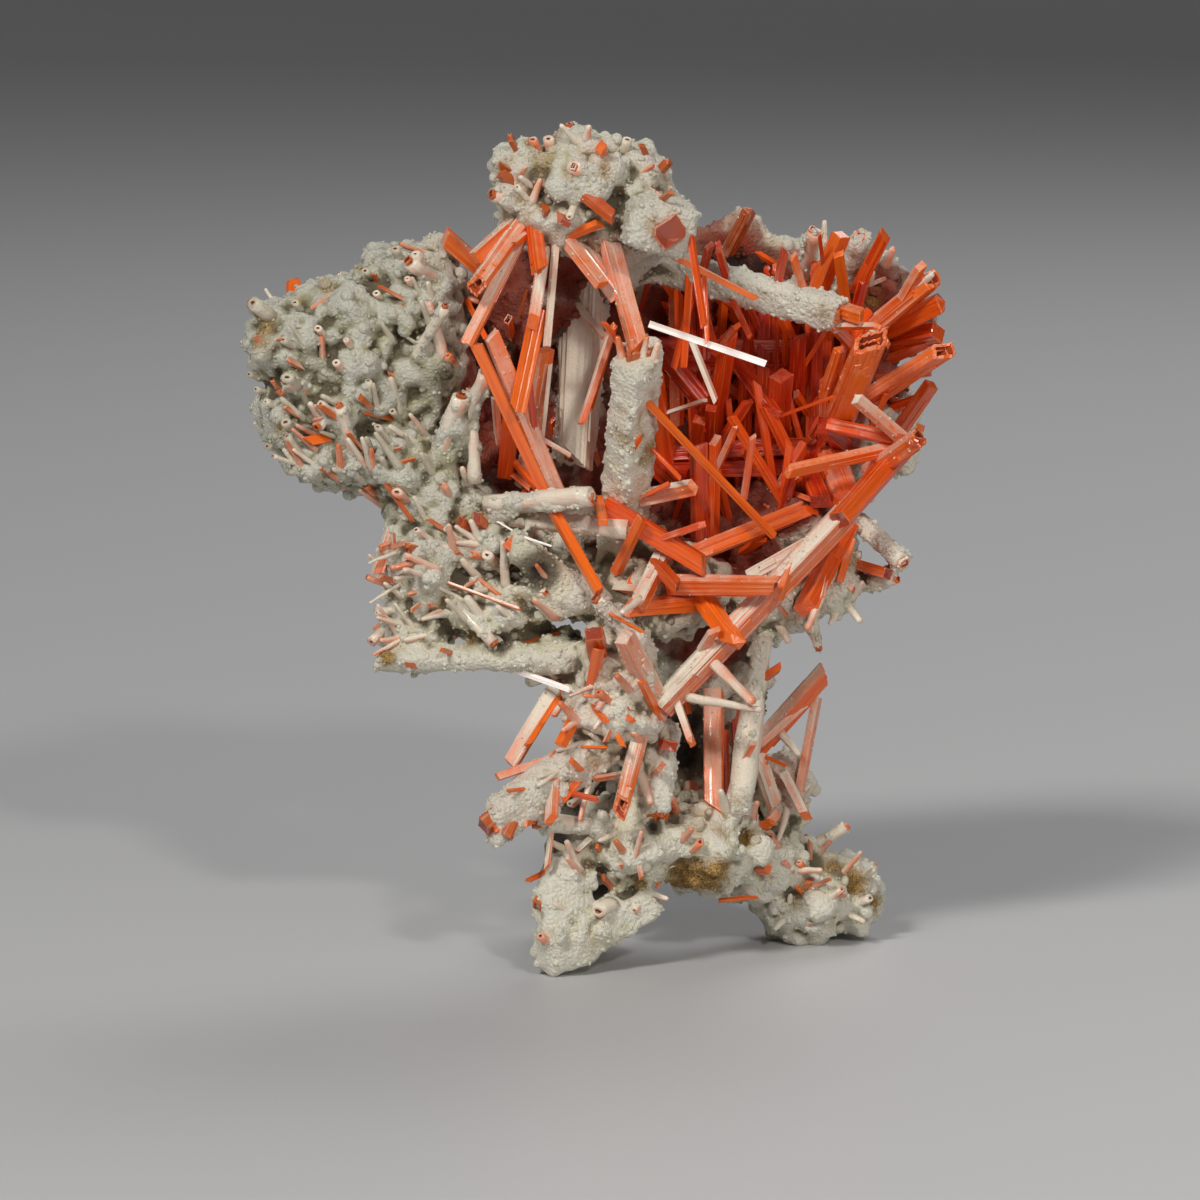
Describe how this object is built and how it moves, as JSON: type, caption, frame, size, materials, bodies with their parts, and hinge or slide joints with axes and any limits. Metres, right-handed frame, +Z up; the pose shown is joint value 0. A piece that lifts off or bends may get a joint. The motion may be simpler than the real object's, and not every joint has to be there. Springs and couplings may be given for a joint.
{
  "type": "crocoite specimen",
  "caption": "Mineral specimen: slender orange prisms spray from and line an open hollow in a pale, lumpy matrix with a crown, a side wing and a narrow stem on spread feet.",
  "frame": {"origin": "middle of the bounding box, on the plane the feet rest on", "axes": "+Z up, the object's longest way; +Y away from the viewer who faces the open hollow; +X to that viewer's right"},
  "size_m": [0.0711, 0.0411, 0.0843],
  "materials": {
    "crust": "matte, granular, cream to grey-green",
    "crocoite": "glassy orange prisms, striated, partly frosted pinkish white",
    "deep_crocoite": "glassy deep orange-red"
  },
  "bodies": {
    "root": {"bowl_crust": "deep_crocoite", "crown_back_prism": "crocoite", "crown_fan_1": "crocoite", "crown_fan_2": "crocoite", "crown_heart": "crocoite", "crown_needle": "crocoite", "crown_stub_1": "crocoite", "crown_stub_2": "crocoite", "crown_stub_3": "crocoite", "dark_plates": "crocoite", "inner_prism": "crocoite", "left_cross_prism": "crocoite", "lip_cluster_1": "crocoite", "lip_cluster_2": "crocoite", "lip_cluster_3": "crocoite", "lip_cluster_4": "crocoite", "long_needle": "crocoite", "matrix": "crust", "rim_cluster": "crocoite", "rim_crystal_1": "crocoite", "rim_crystal_2": "crocoite", "rim_crystal_3": "crocoite", "rim_crystal_4": "crocoite", "rim_crystal_5": "crocoite", "rim_crystal_6": "crocoite", "rim_crystal_7": "crocoite", "rim_crystal_8": "crocoite", "sheath_end_prism": "crocoite", "stem_broken_prism": "crocoite", "stem_hollow_prism": "crocoite", "stem_long_prism": "crocoite", "stem_right_prism_1": "crocoite", "stem_right_prism_2": "crocoite", "stem_slender_pair": "crocoite", "stem_small_prism_1": "crocoite", "stem_small_prism_2": "crocoite", "stem_small_prism_3": "crocoite"}
  },
  "joints": []
}
